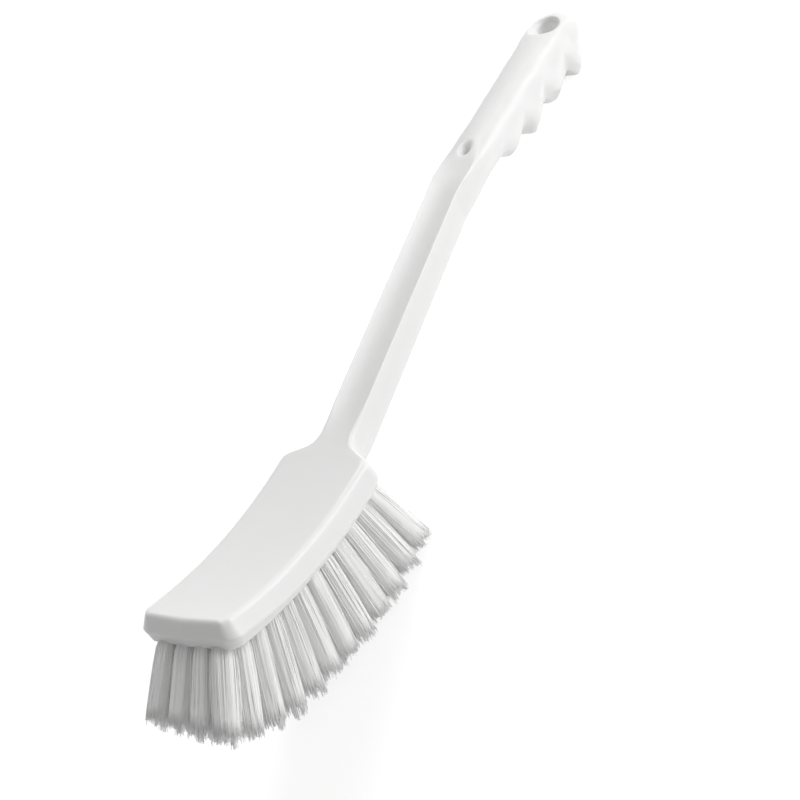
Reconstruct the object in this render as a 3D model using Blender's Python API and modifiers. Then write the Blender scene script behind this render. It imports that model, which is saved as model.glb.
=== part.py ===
"""Stem brush: one moulded body of head, stem and grip, with four columns of anchored bristle tufts.

The body and its tufts are modelled in the frame of the head. X runs from the front of the head to
the end of the grip, Y across, and Z up from the middle of the head's underside. An empty then
carries all of them to the way the brush lies on a table: on the tips of its rear tufts and on a
flat land under the end of the grip.
"""

import math

import bmesh
import bpy
import numpy as np
from mathutils import Matrix, Vector

MM = 0.001
CLEARANCE = 0.3 * MM  # between a tuft and the hole that it sits in
OVERRUN = 2.0 * MM  # how far a cutter runs past the face that it cuts

# Head, a block that curves up at both ends, with a parting line low on its sides
HEAD_LENGTH = 117.8 * MM  # from the front to the shoulder
HEAD_HALF_WIDTH = 27.8 * MM
HEAD_THICKNESS = 13.7 * MM
HEAD_CURVE_RADIUS = 255.0 * MM
HEAD_MIDDLE_X = 60.3 * MM  # lowest place of that curve
HEAD_LINE_HEIGHT = 3.9 * MM  # parting line above the underside
HEAD_TOP_INSET = 3.4 * MM  # the sides lean in from the parting line to the top
HEAD_BOTTOM_INSET = 2.7 * MM
FRONT_TOP_INSET = 2.2 * MM
FRONT_BOTTOM_INSET = 0.3 * MM
FRONT_BOW = 1.5 * MM
FRONT_CORNER_RADIUS = 7.0 * MM
FRONT_REACH = 20.0 * MM  # the part of the outline that counts as the front

# Shoulders and neck
SHOULDER_RADIUS = 6.0 * MM
SHOULDER_RUN = 7.5 * MM
NECK_HALF_WIDTH = 10.2 * MM
NECK_RADIUS = 9.0 * MM
NECK_RUN = 16.0 * MM
NECK_LEAD = 8.0 * MM  # the neck starts to rise this far before the shoulder

# Stem, a straight bar with a shallow channel along its top
STEM_RUN = 110.0 * MM
STEM_RISE = math.radians(21.5)
STEM_START_HALF_WIDTH = 9.8 * MM
STEM_END_HALF_WIDTH = 9.2 * MM
STEM_START_THICKNESS = 17.2 * MM
STEM_END_THICKNESS = 15.4 * MM
STEM_LINE_HEIGHT = 6.0 * MM
STEM_TOP_INSET = 0.35 * MM
STEM_BOTTOM_INSET = 0.6 * MM
CHANNEL_DEPTH = 1.2 * MM

# Thumb bend
BEND_RISE_RUN = 15.0 * MM  # the slope changes over this length
BEND_RUN = 24.0 * MM
BEND_HALF_WIDTH = 11.5 * MM
BEND_RADIUS = 40.0 * MM
BEND_THICKNESS = 14.8 * MM
DIMPLE_X = 281.5 * MM
DIMPLE_HALF_SIZE = (4.4 * MM, 2.8 * MM, 1.8 * MM)

# Grip, an oval bar with four finger ridges below, that thins to its end
GRIP_SHOULDER_RUN = 14.0 * MM
GRIP_SHOULDER_RADIUS = 60.0 * MM
GRIP_RUN = 95.0 * MM
GRIP_RISE = math.radians(11.3)
GRIP_END_RISE = math.radians(-4.5)
GRIP_END_RISE_RUN = 45.0 * MM  # the top levels off over this length before the end
GRIP_START_HALF_WIDTH = 12.3 * MM
GRIP_HALF_WIDTH = 13.0 * MM
GRIP_THICKNESS = 18.0 * MM
GRIP_LINE_HEIGHT = 9.5 * MM
GRIP_LINE_SHARE = 0.55  # the widest line is never higher than this share of the thickness
GRIP_TOP_INSET = 2.2 * MM
GRIP_BOTTOM_INSET = 4.0 * MM
GRIP_CROWN = 2.0 * MM
CROWN_RUN = 18.0 * MM  # past the dimple, over which the channel turns into the crown
GRIP_FADE_RUN = 38.0 * MM  # the section goes from the stem's to the grip's over this length
FINGER_COUNT = 4
FINGER_PITCH = 21.5 * MM
FINGER_FIRST_X = 303.3 * MM
FINGER_DEPTH = 10.5 * MM
FINGER_SIDE_DEPTH = 1.6 * MM
FIRST_FINGER_SHARE = 0.6
FINGER_ROUND_SHARE = 0.8
END_RADIUS = 12.5 * MM
END_TOP_INSET = 5.0 * MM
END_THINNING = 14.0 * MM
END_THINNING_RUN = 18.0 * MM
LAND_DEPTH = 0.8 * MM  # cut off what touches the table, so that it stands flat

# Rounded edges of the body, as the distance from the edge where the rounding starts
HEAD_TOP_ROUND = 1.3 * MM
HEAD_LINE_ROUND = 0.7 * MM
HEAD_BOTTOM_ROUND = 0.8 * MM
STEM_TOP_ROUND = 0.6 * MM
STEM_LINE_ROUND = 2.0 * MM
STEM_BOTTOM_ROUND = 1.5 * MM
GRIP_TOP_ROUND = 4.0 * MM
GRIP_LINE_ROUND = 3.8 * MM
GRIP_BOTTOM_ROUND = 4.5 * MM
ROUND_LIMIT_SHARE = 0.45  # of the faces beside the edge, so that two roundings never meet

# Spine of the top and bottom faces: how far it stays from the ends, and where it starts to
SPINE_FRONT_GAP = 10.0 * MM
SPINE_FRONT_REACH = 41.0 * MM
SPINE_END_GAP = 10.0 * MM
SPINE_END_REACH = 36.0 * MM
SLOPE_STEP = 0.25 * MM

# Hanging hole, on an axis that leans toward the end
HANGING_GAP = 19.8 * MM  # from its middle to the end of the grip
HANGING_LEAN = math.radians(37.0)
HANGING_NECK_RADIUS = 5.75 * MM
HANGING_NECK_DEPTH = 3.0 * MM
HANGING_RIM_RADIUS = 8.15 * MM
HANGING_EXIT_RADIUS = 6.4 * MM
HANGING_DEPTH = 21.0 * MM

# Bristle field
ROW_COUNT = 12
COLUMN_COUNT = 4
FIRST_ROW_X = 5.2 * MM
ROW_PITCH = 10.05 * MM
COLUMN_PITCH = 10.0 * MM
HOLE_RADIUS = 2.5 * MM
HOLE_DEPTH = 9.0 * MM

# Trim of the bristles: the tips spread out from the roots and lie on a shallow curve
TIP_SPREAD_X_SHARE = 0.372
TIP_SPREAD_Y_SHARE = 0.351
TIP_SPREAD_MIDDLE_X = 70.4 * MM
TIP_DROP = 48.9 * MM
TIP_CURVE_RADIUS = 178.0 * MM
TIP_CURVE_MIDDLE_X = 68.7 * MM

# Tuft: a root of folded filaments, the flat wire that anchors it, and its strands
STRANDS_AROUND = 7
STRAND_SIDES = 3
STRAND_RING_RADIUS = 1.45 * MM
STRAND_TIP_RING_RADIUS = 4.9 * MM
STRAND_ROOT_RADIUS = 0.5 * MM
STRAND_TIP_RADIUS = 0.42 * MM
STRAND_ROOT_DEPTH = 1.2 * MM
STRAND_UNEVENNESS = 1.3 * MM
ANCHOR_LENGTH = 5.9 * MM
ANCHOR_THICKNESS = 0.5 * MM
ANCHOR_HEIGHT = 1.8 * MM
ANCHOR_LIFT = 0.6 * MM  # above the bottom of the root

# Fineness of the meshes
RUN_STEPS = (2, 9, 1, 2, 5, 3, 2, 22, 1)
ARC_STEPS = (0, 3, 3, 3, 0, 0, 2, 2, 5, 0)
FACE_STEPS = 2
ROUND_STEPS = 2
HOLE_SIDES = 10
ROOT_SIDES = 8
RIM_SIDES = 20
SMOOTH_ANGLE = math.radians(35.0)
MERGE_DISTANCE = 0.0001 * MM
TILT_PRECISION = 1e-6

# Finishes
PLASTIC_COLOUR = (0.83, 0.83, 0.82, 1.0)
PLASTIC_ROUGHNESS = 0.32
FILAMENT_COLOUR = (0.80, 0.80, 0.79, 1.0)
FILAMENT_ROUGHNESS = 0.45

# Places along the brush, worked out from the lengths above
SHOULDER_X = HEAD_LENGTH
NECK_X = SHOULDER_X + SHOULDER_RUN
STEM_X = NECK_X + NECK_RUN
BEND_X = STEM_X + STEM_RUN
BEND_END_X = BEND_X + BEND_RUN
GRIP_X = BEND_END_X + GRIP_SHOULDER_RUN
END_X = GRIP_X + GRIP_RUN
RISE_START_X = SHOULDER_X - NECK_LEAD
LEVEL_START_X = END_X - GRIP_END_RISE_RUN
CROWN_START_X = DIMPLE_X + DIMPLE_HALF_SIZE[0]


def ease(x, start, end):
    """0 before start, 1 after end, and a smooth step between."""
    share = np.clip((x - start) / (end - start), 0, 1)
    return share * share * (3 - 2 * share)


def zones(x, head, stem, grip):
    """A size that is head on the head, stem on the stem and grip on the grip."""
    neck = ease(x, RISE_START_X, NECK_X + SHOULDER_RADIUS)
    thumb = ease(x, BEND_X + SHOULDER_RUN, BEND_X + SHOULDER_RUN + GRIP_FADE_RUN)
    return head + (stem - head) * neck + (grip - stem) * thumb


def rise(x):
    """Slope of the top: the arc of the head, then the stem's slope, the grip's and the end's."""
    across = np.clip(x, None, SHOULDER_X) - HEAD_MIDDLE_X
    slope = across / np.sqrt(HEAD_CURVE_RADIUS**2 - across**2)
    slope = slope + (math.tan(STEM_RISE) - slope) * ease(x, RISE_START_X, STEM_X)
    change = math.tan(GRIP_RISE) - math.tan(STEM_RISE)
    slope = slope + change * ease(x, BEND_X, BEND_X + BEND_RISE_RUN)
    change = math.tan(GRIP_END_RISE) - math.tan(GRIP_RISE)
    return slope + change * ease(x, LEVEL_START_X, END_X)


def height_line():
    """The height of the top above the head's middle, as a sum of its slope over short steps."""
    x = np.arange(-OVERRUN, END_X + OVERRUN, SLOPE_STEP)
    slope = rise(x)
    gain = (slope[1:] + slope[:-1]) / 2 * np.diff(x)
    height = np.concatenate([[0.0], np.cumsum(gain)])
    return x, height - np.interp(HEAD_MIDDLE_X, x, height)


LINE_X, LINE_HEIGHT = height_line()


def top(x):
    return HEAD_THICKNESS + np.interp(x, LINE_X, LINE_HEIGHT)


def finger(x):
    """1 on the crest of a finger ridge and 0 in a hollow or off the ridges."""
    turn = (x - FINGER_FIRST_X) / FINGER_PITCH
    wave = (0.5 + 0.5 * np.cos(2 * math.pi * turn)) ** FINGER_ROUND_SHARE
    first = FINGER_FIRST_X - FINGER_PITCH / 2
    grown = ease(x, FINGER_FIRST_X, FINGER_FIRST_X + FINGER_PITCH)
    on = (x > first) * (turn < FINGER_COUNT - 0.5)
    return on * wave * (FIRST_FINGER_SHARE + (1 - FIRST_FINGER_SHARE) * grown)


def thickness(x):
    share = np.clip((x - STEM_X) / STEM_RUN, 0, 1)
    stem = STEM_START_THICKNESS + (STEM_END_THICKNESS - STEM_START_THICKNESS) * share
    body = HEAD_THICKNESS + (stem - HEAD_THICKNESS) * ease(x, RISE_START_X, STEM_X)
    body = body + (BEND_THICKNESS - STEM_END_THICKNESS) * ease(x, BEND_X, BEND_END_X)
    body = body + (GRIP_THICKNESS - BEND_THICKNESS) * ease(x, BEND_END_X, GRIP_X + GRIP_FADE_RUN)
    thinning = END_THINNING * np.clip((x - END_X) / END_THINNING_RUN + 1, 0, 1)
    return body + FINGER_DEPTH * finger(x) - thinning


def bottom(x):
    return top(x) - thickness(x)


def line(x):
    """Height of the widest line of the sides."""
    height = zones(x, HEAD_LINE_HEIGHT, STEM_LINE_HEIGHT, GRIP_LINE_HEIGHT)
    height = np.minimum(height + FINGER_DEPTH / 2 * finger(x), thickness(x) * GRIP_LINE_SHARE)
    return bottom(x) + height


def crown(x):
    """How far the middle of the top stands above its edges: below them along the stem's channel."""
    channel = ease(x, SHOULDER_X, STEM_X + NECK_LEAD)
    thumb = ease(x, CROWN_START_X, CROWN_START_X + CROWN_RUN)
    return -CHANNEL_DEPTH * channel + (GRIP_CROWN + CHANNEL_DEPTH) * thumb


def outline():
    """The widest line of the body in plan, from the middle of the front to the middle of the end.

    Its points come with unit vectors that point from each of them into the body.
    """
    corners = (
        (0.0, 0.0, 0.0),
        (FRONT_BOW, HEAD_HALF_WIDTH, FRONT_CORNER_RADIUS),
        (SHOULDER_X, HEAD_HALF_WIDTH, SHOULDER_RADIUS),
        (NECK_X, NECK_HALF_WIDTH, NECK_RADIUS),
        (STEM_X, STEM_START_HALF_WIDTH, 0.0),
        (BEND_X, STEM_END_HALF_WIDTH, 0.0),
        (BEND_END_X, BEND_HALF_WIDTH, BEND_RADIUS),
        (GRIP_X, GRIP_START_HALF_WIDTH, GRIP_SHOULDER_RADIUS),
        (END_X, GRIP_HALF_WIDTH, END_RADIUS),
        (END_X, 0.0, 0.0),
    )
    points = []
    ways = []
    start = np.array(corners[0][:2])
    for index in range(1, len(corners)):
        corner = np.array(corners[index][:2])
        way = (corner - start) / np.linalg.norm(corner - start)
        arc, arc_ways = corner[None, :], way[None, :]
        if corners[index][2]:
            after = np.array(corners[index + 1][:2])
            arc, arc_ways = corner_arc(way, corner, after, corners[index][2], ARC_STEPS[index])
        shares = np.arange(RUN_STEPS[index - 1])[:, None] / RUN_STEPS[index - 1]
        points += [start + (arc[0] - start) * shares, arc[:-1]]
        ways += [way + 0 * shares, arc_ways[:-1]]
        start = arc[-1]
    points.append(start[None, :])
    ways.append(way[None, :])
    ways[0][0] = (0.0, 1.0)
    ways[-1][0] = (0.0, -1.0)
    ways = np.concatenate(ways)
    return np.concatenate(points), np.stack([ways[:, 1], -ways[:, 0]], axis=1)


def corner_arc(way, corner, after, radius, steps):
    """Points of the arc that rounds a corner between two straight runs, and their directions."""
    on = (after - corner) / np.linalg.norm(after - corner)
    half = math.acos(float(-way @ on)) / 2
    first = corner - way * radius / math.tan(half)
    last = corner + on * radius / math.tan(half)
    centre = corner + (on - way) / np.linalg.norm(on - way) * radius / math.sin(half)
    sweep = math.pi - 2 * half
    turn = np.linspace(0, sweep, steps + 1)[:, None]
    before, later = np.sin(sweep - turn) / math.sin(sweep), np.sin(turn) / math.sin(sweep)
    points = centre + before * (first - centre) + later * (last - centre)
    return points, before * way + later * on


def spine(points):
    """For each point of the outline, the place on the middle line that its section runs to."""
    x = points[:, 0]
    steps = np.linalg.norm(np.diff(points, axis=0), axis=1)
    run = np.concatenate([[0.0], np.cumsum(steps)])
    first = int(np.argmax(x >= SPINE_FRONT_REACH))
    last = len(x) - 1 - int(np.argmax(x[::-1] <= END_X - SPINE_END_REACH))
    middle = x.copy()
    middle[:first] = SPINE_FRONT_GAP + (x[first] - SPINE_FRONT_GAP) * run[:first] / run[first]
    share = (run[last:] - run[last]) / (run[-1] - run[last])
    middle[last:] = x[last] + (END_X - SPINE_END_GAP - x[last]) * share
    return np.stack([middle, np.zeros(len(x))], axis=1)


def rounding(before, corner, after, reach):
    """Rows of points that round an edge, as a curve tangent to both of its faces."""
    back = before - corner
    on = after - corner
    back_length = np.linalg.norm(back, axis=1)
    on_length = np.linalg.norm(on, axis=1)
    reach = np.minimum(reach, np.minimum(back_length, on_length) * ROUND_LIMIT_SHARE)
    first = corner + back * (reach / back_length)[:, None]
    last = corner + on * (reach / on_length)[:, None]
    rows = []
    for share in np.linspace(0, 1, ROUND_STEPS + 1):
        rows.append((1 - share) ** 2 * first + 2 * share * (1 - share) * corner + share**2 * last)
    return rows


def body_rows():
    """Rows of points across the half body, from the middle of the top round to that of the bottom."""
    plan, normal = outline()
    x = plan[:, 0]
    middle = spine(plan)
    front = np.clip(normal[:, 0], 0, 1) ** 6 * (x < FRONT_REACH)
    end = np.clip(-normal[:, 0], 0, 1) ** 2 * (x > END_X - END_RADIUS - OVERRUN)
    top_inset = zones(x, HEAD_TOP_INSET, STEM_TOP_INSET, GRIP_TOP_INSET)
    top_inset = top_inset + (FRONT_TOP_INSET - top_inset) * front + (END_TOP_INSET - top_inset) * end
    bottom_inset = zones(x, HEAD_BOTTOM_INSET, STEM_BOTTOM_INSET, GRIP_BOTTOM_INSET)
    bottom_inset = bottom_inset + (FRONT_BOTTOM_INSET - bottom_inset) * front
    bottom_inset = bottom_inset - FINGER_SIDE_DEPTH * finger(x)
    top_edge = plan + normal * top_inset[:, None]
    bottom_edge = plan + normal * bottom_inset[:, None]

    def on_top(places):
        share = np.linalg.norm(places - middle, axis=1) / np.linalg.norm(top_edge - middle, axis=1)
        height = top(places[:, 0]) + crown(places[:, 0]) * (1 - share**2)
        return np.column_stack([places, height])

    def on_bottom(places):
        return np.column_stack([places, bottom(places[:, 0])])

    top_corner = on_top(top_edge)
    side_corner = np.column_stack([plan, line(x)])
    bottom_corner = on_bottom(bottom_edge)
    top_round = rounding(on_top((top_edge + middle) / 2), top_corner, side_corner,
                         zones(x, HEAD_TOP_ROUND, STEM_TOP_ROUND, GRIP_TOP_ROUND))
    side_round = rounding(top_corner, side_corner, bottom_corner,
                          zones(x, HEAD_LINE_ROUND, STEM_LINE_ROUND, GRIP_LINE_ROUND))
    bottom_round = rounding(side_corner, bottom_corner, on_bottom((bottom_edge + middle) / 2),
                            zones(x, HEAD_BOTTOM_ROUND, STEM_BOTTOM_ROUND, GRIP_BOTTOM_ROUND))
    rows = []
    for step in range(FACE_STEPS):
        rows.append(on_top(middle + (top_round[0][:, :2] - middle) * step / FACE_STEPS))
    top_round[0] = on_top(top_round[0][:, :2])
    rows += top_round + side_round + bottom_round
    for step in range(1, FACE_STEPS + 1):
        start = bottom_round[-1][:, :2]
        rows.append(on_bottom(start + (middle - start) * step / FACE_STEPS))
    return np.stack(rows)


def new_collection(name, shown):
    collection = bpy.data.collections.new(name)
    collection.hide_render = not shown
    bpy.context.scene.collection.children.link(collection)
    return collection


def new_object(name, mesh, collection, parent):
    item = bpy.data.objects.new(name, mesh)
    collection.objects.link(item)
    item.parent = parent
    if collection.hide_render:
        item.hide_render = True
        item.display_type = "WIRE"
    return item


def material(name, colour, roughness):
    made = bpy.data.materials.new(name)
    made.use_nodes = True
    shader = made.node_tree.nodes["Principled BSDF"]
    shader.inputs["Base Color"].default_value = colour
    shader.inputs["Roughness"].default_value = roughness
    shader.inputs["Metallic"].default_value = 0.0
    return made


def finish_mesh(shape, name):
    """Turns a bmesh into a mesh and frees it."""
    mesh = bpy.data.meshes.new(name)
    bmesh.ops.recalc_face_normals(shape, faces=shape.faces)
    shape.to_mesh(mesh)
    shape.free()
    return mesh


def cut(item, cutter, operation="DIFFERENCE"):
    modifier = item.modifiers.new(cutter.name, "BOOLEAN")
    modifier.operation = operation
    modifier.solver = "EXACT"
    modifier.object = cutter


def half_body_mesh():
    """The half body at +Y, open at the middle plane."""
    rows = body_rows()
    row_count, point_count = rows.shape[:2]
    index = np.arange(row_count * point_count).reshape(row_count, point_count)
    corners = (index[:-1, :-1], index[:-1, 1:], index[1:, 1:], index[1:, :-1])
    faces = np.stack(corners, axis=-1).reshape(-1, 4)
    mesh = bpy.data.meshes.new("body")
    mesh.from_pydata(rows.reshape(-1, 3).tolist(), [], faces.tolist())
    return mesh


def make_body(parts, cutters, root, frames):
    body = new_object("moulded_body", half_body_mesh(), parts, root)
    mirror = body.modifiers.new("other half", "MIRROR")
    mirror.use_axis = (False, True, False)
    mirror.merge_threshold = MERGE_DISTANCE
    cut(body, new_object("tuft_holes", hole_mesh(frames), cutters, root))
    cut(body, new_object("anchor_slits", slit_mesh(frames), cutters, root))
    cut(body, hanging_hole(cutters, root))
    cut(body, dimple(cutters, root))
    body.data.shade_smooth()
    body.data.set_sharp_from_angle(angle=SMOOTH_ANGLE)
    body.data.materials.append(material("white_moulded_plastic", PLASTIC_COLOUR, PLASTIC_ROUGHNESS))
    return body


def hanging_hole(cutters, root):
    """A turned cutter, narrowest a little below the top, that slants toward the end as it goes down."""
    profile = (
        (0.0, HANGING_NECK_DEPTH),
        (HANGING_RIM_RADIUS + HANGING_NECK_DEPTH, HANGING_NECK_DEPTH),
        (HANGING_RIM_RADIUS, 0.0),
        ((HANGING_RIM_RADIUS + HANGING_NECK_RADIUS * 2) / 3, -HANGING_NECK_DEPTH / 2),
        (HANGING_NECK_RADIUS, -HANGING_NECK_DEPTH),
        (HANGING_EXIT_RADIUS, -HANGING_DEPTH),
        (0.0, -HANGING_DEPTH),
    )
    shape = bmesh.new()
    points = [shape.verts.new((radius, 0.0, height)) for radius, height in profile]
    edges = [shape.edges.new(pair) for pair in zip(points, points[1:])]
    bmesh.ops.spin(shape, geom=points + edges, cent=(0.0, 0.0, 0.0), axis=(0.0, 0.0, 1.0),
                   angle=2 * math.pi, steps=RIM_SIDES, use_merge=True)
    bmesh.ops.remove_doubles(shape, verts=shape.verts, dist=MERGE_DISTANCE)
    shape.transform(Matrix.Shear("XY", 4, (-math.tan(HANGING_LEAN), 0.0)))
    cutter = new_object("hanging_hole", finish_mesh(shape, "hanging_hole"), cutters, root)
    x = END_X - HANGING_GAP
    cutter.location = (x, 0.0, float(top(x) + crown(x)))
    return cutter


def dimple(cutters, root):
    """The small hollow where the stem's channel ends under the thumb."""
    shape = bmesh.new()
    bmesh.ops.create_uvsphere(shape, u_segments=ROOT_SIDES * 2, v_segments=ROOT_SIDES, radius=1.0,
                              matrix=Matrix.Diagonal((*DIMPLE_HALF_SIZE, 1.0)))
    cutter = new_object("thumb_dimple", finish_mesh(shape, "thumb_dimple"), cutters, root)
    height = float(top(DIMPLE_X) + crown(DIMPLE_X))
    cutter.location = (DIMPLE_X, 0.0, height)
    cutter.rotation_euler = (0.0, -math.atan(float(rise(DIMPLE_X))), 0.0)
    return cutter


def frame_along(start, direction):
    """A frame at start whose Z runs along direction and whose Y stays across the brush."""
    along = Vector(direction).normalized()
    across = Vector((0.0, 1.0, 0.0)).cross(along).normalized()
    turned = Matrix((across, along.cross(across), along)).transposed().to_4x4()
    return Matrix.Translation(start) @ turned


def tuft_frames():
    """For each tuft, its name, the frame at the mouth of its hole and the length of its bristles."""
    frames = {}
    for row in range(ROW_COUNT):
        for column in range(COLUMN_COUNT):
            x = FIRST_ROW_X + row * ROW_PITCH
            y = (column - (COLUMN_COUNT - 1) / 2) * COLUMN_PITCH
            root = Vector((x, y, float(bottom(x))))
            tip_x = x + TIP_SPREAD_X_SHARE * (x - TIP_SPREAD_MIDDLE_X)
            tip_y = y + TIP_SPREAD_Y_SHARE * y
            lift = (tip_x - TIP_CURVE_MIDDLE_X) ** 2 / (2 * TIP_CURVE_RADIUS)
            tip = Vector((tip_x, tip_y, lift - TIP_DROP))
            name = f"tuft_row{row + 1:02d}_column{column + 1}"
            frames[name] = (frame_along(root, tip - root), (tip - root).length)
    return frames


def hole_mesh(frames):
    shape = bmesh.new()
    depth = HOLE_DEPTH + OVERRUN
    for frame, _ in frames.values():
        middle = Matrix.Translation((0.0, 0.0, (OVERRUN - HOLE_DEPTH) / 2))
        bmesh.ops.create_cone(shape, cap_ends=True, segments=HOLE_SIDES, radius1=HOLE_RADIUS,
                              radius2=HOLE_RADIUS, depth=depth, matrix=frame @ middle)
    return finish_mesh(shape, "tuft_holes")


def anchor_middle():
    return CLEARANCE + ANCHOR_LIFT + ANCHOR_HEIGHT / 2 - HOLE_DEPTH


def slit_mesh(frames):
    shape = bmesh.new()
    size = [length + 2 * CLEARANCE for length in (ANCHOR_THICKNESS, ANCHOR_LENGTH, ANCHOR_HEIGHT)]
    for frame, _ in frames.values():
        place = Matrix.Translation((0.0, 0.0, anchor_middle())) @ Matrix.Diagonal((*size, 1.0))
        bmesh.ops.create_cube(shape, size=1.0, matrix=frame @ place)
    return finish_mesh(shape, "anchor_slits")


def root_mesh(name):
    """The folded ends of a tuft's filaments, pressed to a plug."""
    shape = bmesh.new()
    length = HOLE_DEPTH - CLEARANCE
    bmesh.ops.create_cone(shape, cap_ends=True, segments=ROOT_SIDES,
                          radius1=HOLE_RADIUS - CLEARANCE, radius2=HOLE_RADIUS - CLEARANCE,
                          depth=length, matrix=Matrix.Translation((0.0, 0.0, -length / 2)))
    return finish_mesh(shape, name)


def anchor_mesh(name):
    shape = bmesh.new()
    size = (ANCHOR_THICKNESS, ANCHOR_LENGTH, ANCHOR_HEIGHT, 1.0)
    place = Matrix.Translation((0.0, 0.0, anchor_middle())) @ Matrix.Diagonal(size)
    bmesh.ops.create_cube(shape, size=1.0, matrix=place)
    return finish_mesh(shape, name)


def strand_mesh(name, length, turn):
    """One strand in the middle and a ring of them round it, all leaning outward and uneven at the tips."""
    shape = bmesh.new()
    for strand in range(STRANDS_AROUND + 1):
        spread = min(strand, 1)
        angle = 2 * math.pi * (strand + turn) / STRANDS_AROUND
        unevenness = STRAND_UNEVENNESS * math.sin(angle * 2 + turn * STRANDS_AROUND)
        outward = Vector((math.cos(angle), math.sin(angle), 0.0)) * spread
        start = outward * STRAND_RING_RADIUS - Vector((0.0, 0.0, STRAND_ROOT_DEPTH))
        end = outward * STRAND_TIP_RING_RADIUS + Vector((0.0, 0.0, length + unevenness))
        depth = (end - start).length
        frame = frame_along((start + end) / 2, end - start)
        bmesh.ops.create_cone(shape, cap_ends=True, segments=STRAND_SIDES,
                              radius1=STRAND_ROOT_RADIUS, radius2=STRAND_TIP_RADIUS, depth=depth,
                              matrix=frame)
    return finish_mesh(shape, name)


def make_tufts(parts, cutters, root, frames):
    filament = material("white_filament", FILAMENT_COLOUR, FILAMENT_ROUGHNESS)
    tufts = []
    for index, (name, (frame, length)) in enumerate(frames.items()):
        tuft = new_object(name, root_mesh(name), parts, root)
        anchor = new_object(name + "_anchor", anchor_mesh(name), cutters, root)
        strands = new_object(name + "_strands", strand_mesh(name, length, index / COLUMN_COUNT),
                             cutters, root)
        for item in (tuft, anchor, strands):
            item.matrix_local = frame
        cut(tuft, anchor, "UNION")
        cut(tuft, strands, "UNION")
        tuft.data.materials.append(filament)
        tufts.append(tuft)
    return tufts


def world_points(items):
    """Every point of the finished meshes, in the world."""
    bpy.context.view_layer.update()
    graph = bpy.context.evaluated_depsgraph_get()
    found = []
    for item in items:
        shown = item.evaluated_get(graph)
        mesh = shown.to_mesh()
        points = np.empty(len(mesh.vertices) * 3, np.float32)
        mesh.vertices.foreach_get("co", points)
        world = np.array(shown.matrix_world)
        found.append(points.reshape(-1, 3) @ world[:3, :3].T + world[:3, 3])
        shown.to_mesh_clear()
    return np.concatenate(found)


def resting_tilt(front_points, back_points):
    """The angle about Y at which both sets of points reach equally low."""
    low, high = 0.0, math.pi / 4
    while high - low > TILT_PRECISION:
        tilt = (low + high) / 2
        down = np.array((math.sin(tilt), -math.cos(tilt)))
        front = (front_points[:, [0, 2]] @ down).max()
        back = (back_points[:, [0, 2]] @ down).max()
        if back < front:
            low = tilt
        else:
            high = tilt
    return low


def lay_down(root, cutters, body, tufts):
    """Turns the brush to the way it lies, and cuts flat what touches the table."""
    body_points = world_points([body])
    grip = body_points[body_points[:, 0] > BEND_X]
    tilt = resting_tilt(world_points(tufts), grip)
    root.rotation_euler = (0.0, tilt, 0.0)
    points = world_points([body, *tufts])
    lowest = points[:, 2].min() + LAND_DEPTH
    middle = (points[:, 0].min() + points[:, 0].max()) / 2
    root.location = (-middle, 0.0, -lowest)
    shape = bmesh.new()
    size = (END_X + OVERRUN, END_X + OVERRUN, END_RADIUS, 1.0)
    bmesh.ops.create_cube(shape, size=1.0, matrix=Matrix.Diagonal(size))
    table = new_object("table", finish_mesh(shape, "table"), cutters, None)
    table.location = (0.0, 0.0, -END_RADIUS / 2)
    bpy.context.view_layer.update()
    for item in [body, *tufts]:
        if world_points([item])[:, 2].min() < 0:
            cut(item, table)


def main():
    for item in list(bpy.data.objects):
        bpy.data.objects.remove(item)
    parts = new_collection("stem_brush", True)
    cutters = new_collection("cutters", False)
    root = bpy.data.objects.new("brush_frame", None)
    parts.objects.link(root)
    frames = tuft_frames()
    body = make_body(parts, cutters, root, frames)
    tufts = make_tufts(parts, cutters, root, frames)
    lay_down(root, cutters, body, tufts)


main()
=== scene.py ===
"""Visual model of the stem brush: one moulded plastic body and four columns of fanned filament tufts.

The shapes are worked out in the brush's own frame. X runs from the front of the head to the end of
the grip, Y across, and Z up from the middle of the head's underside. A Resting then carries every
point to the way the brush lies on the floor: on its rearmost tufts and on the last finger ridge.
"""

from __future__ import annotations

import logging
import math
from dataclasses import dataclass
from enum import Enum

import bmesh
import bpy
import numpy as np
from mathutils import Matrix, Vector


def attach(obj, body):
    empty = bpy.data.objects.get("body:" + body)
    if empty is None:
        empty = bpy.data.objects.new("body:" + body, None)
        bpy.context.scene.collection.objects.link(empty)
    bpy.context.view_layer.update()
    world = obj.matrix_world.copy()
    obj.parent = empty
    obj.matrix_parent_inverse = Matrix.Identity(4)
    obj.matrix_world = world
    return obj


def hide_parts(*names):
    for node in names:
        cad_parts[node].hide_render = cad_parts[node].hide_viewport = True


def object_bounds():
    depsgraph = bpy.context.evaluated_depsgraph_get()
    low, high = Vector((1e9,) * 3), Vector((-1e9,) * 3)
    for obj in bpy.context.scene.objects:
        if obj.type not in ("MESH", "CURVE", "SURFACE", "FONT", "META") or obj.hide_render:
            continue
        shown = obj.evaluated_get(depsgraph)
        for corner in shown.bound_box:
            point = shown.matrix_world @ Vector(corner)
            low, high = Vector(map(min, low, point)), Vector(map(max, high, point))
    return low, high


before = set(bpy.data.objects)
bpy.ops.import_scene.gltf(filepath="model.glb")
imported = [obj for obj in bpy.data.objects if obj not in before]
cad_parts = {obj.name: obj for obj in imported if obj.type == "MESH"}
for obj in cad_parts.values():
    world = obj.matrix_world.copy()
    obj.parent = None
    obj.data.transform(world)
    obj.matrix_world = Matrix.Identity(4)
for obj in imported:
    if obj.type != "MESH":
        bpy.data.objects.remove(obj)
SOLID_BOX = [[float(value) for value in corner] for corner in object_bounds()]

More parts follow.
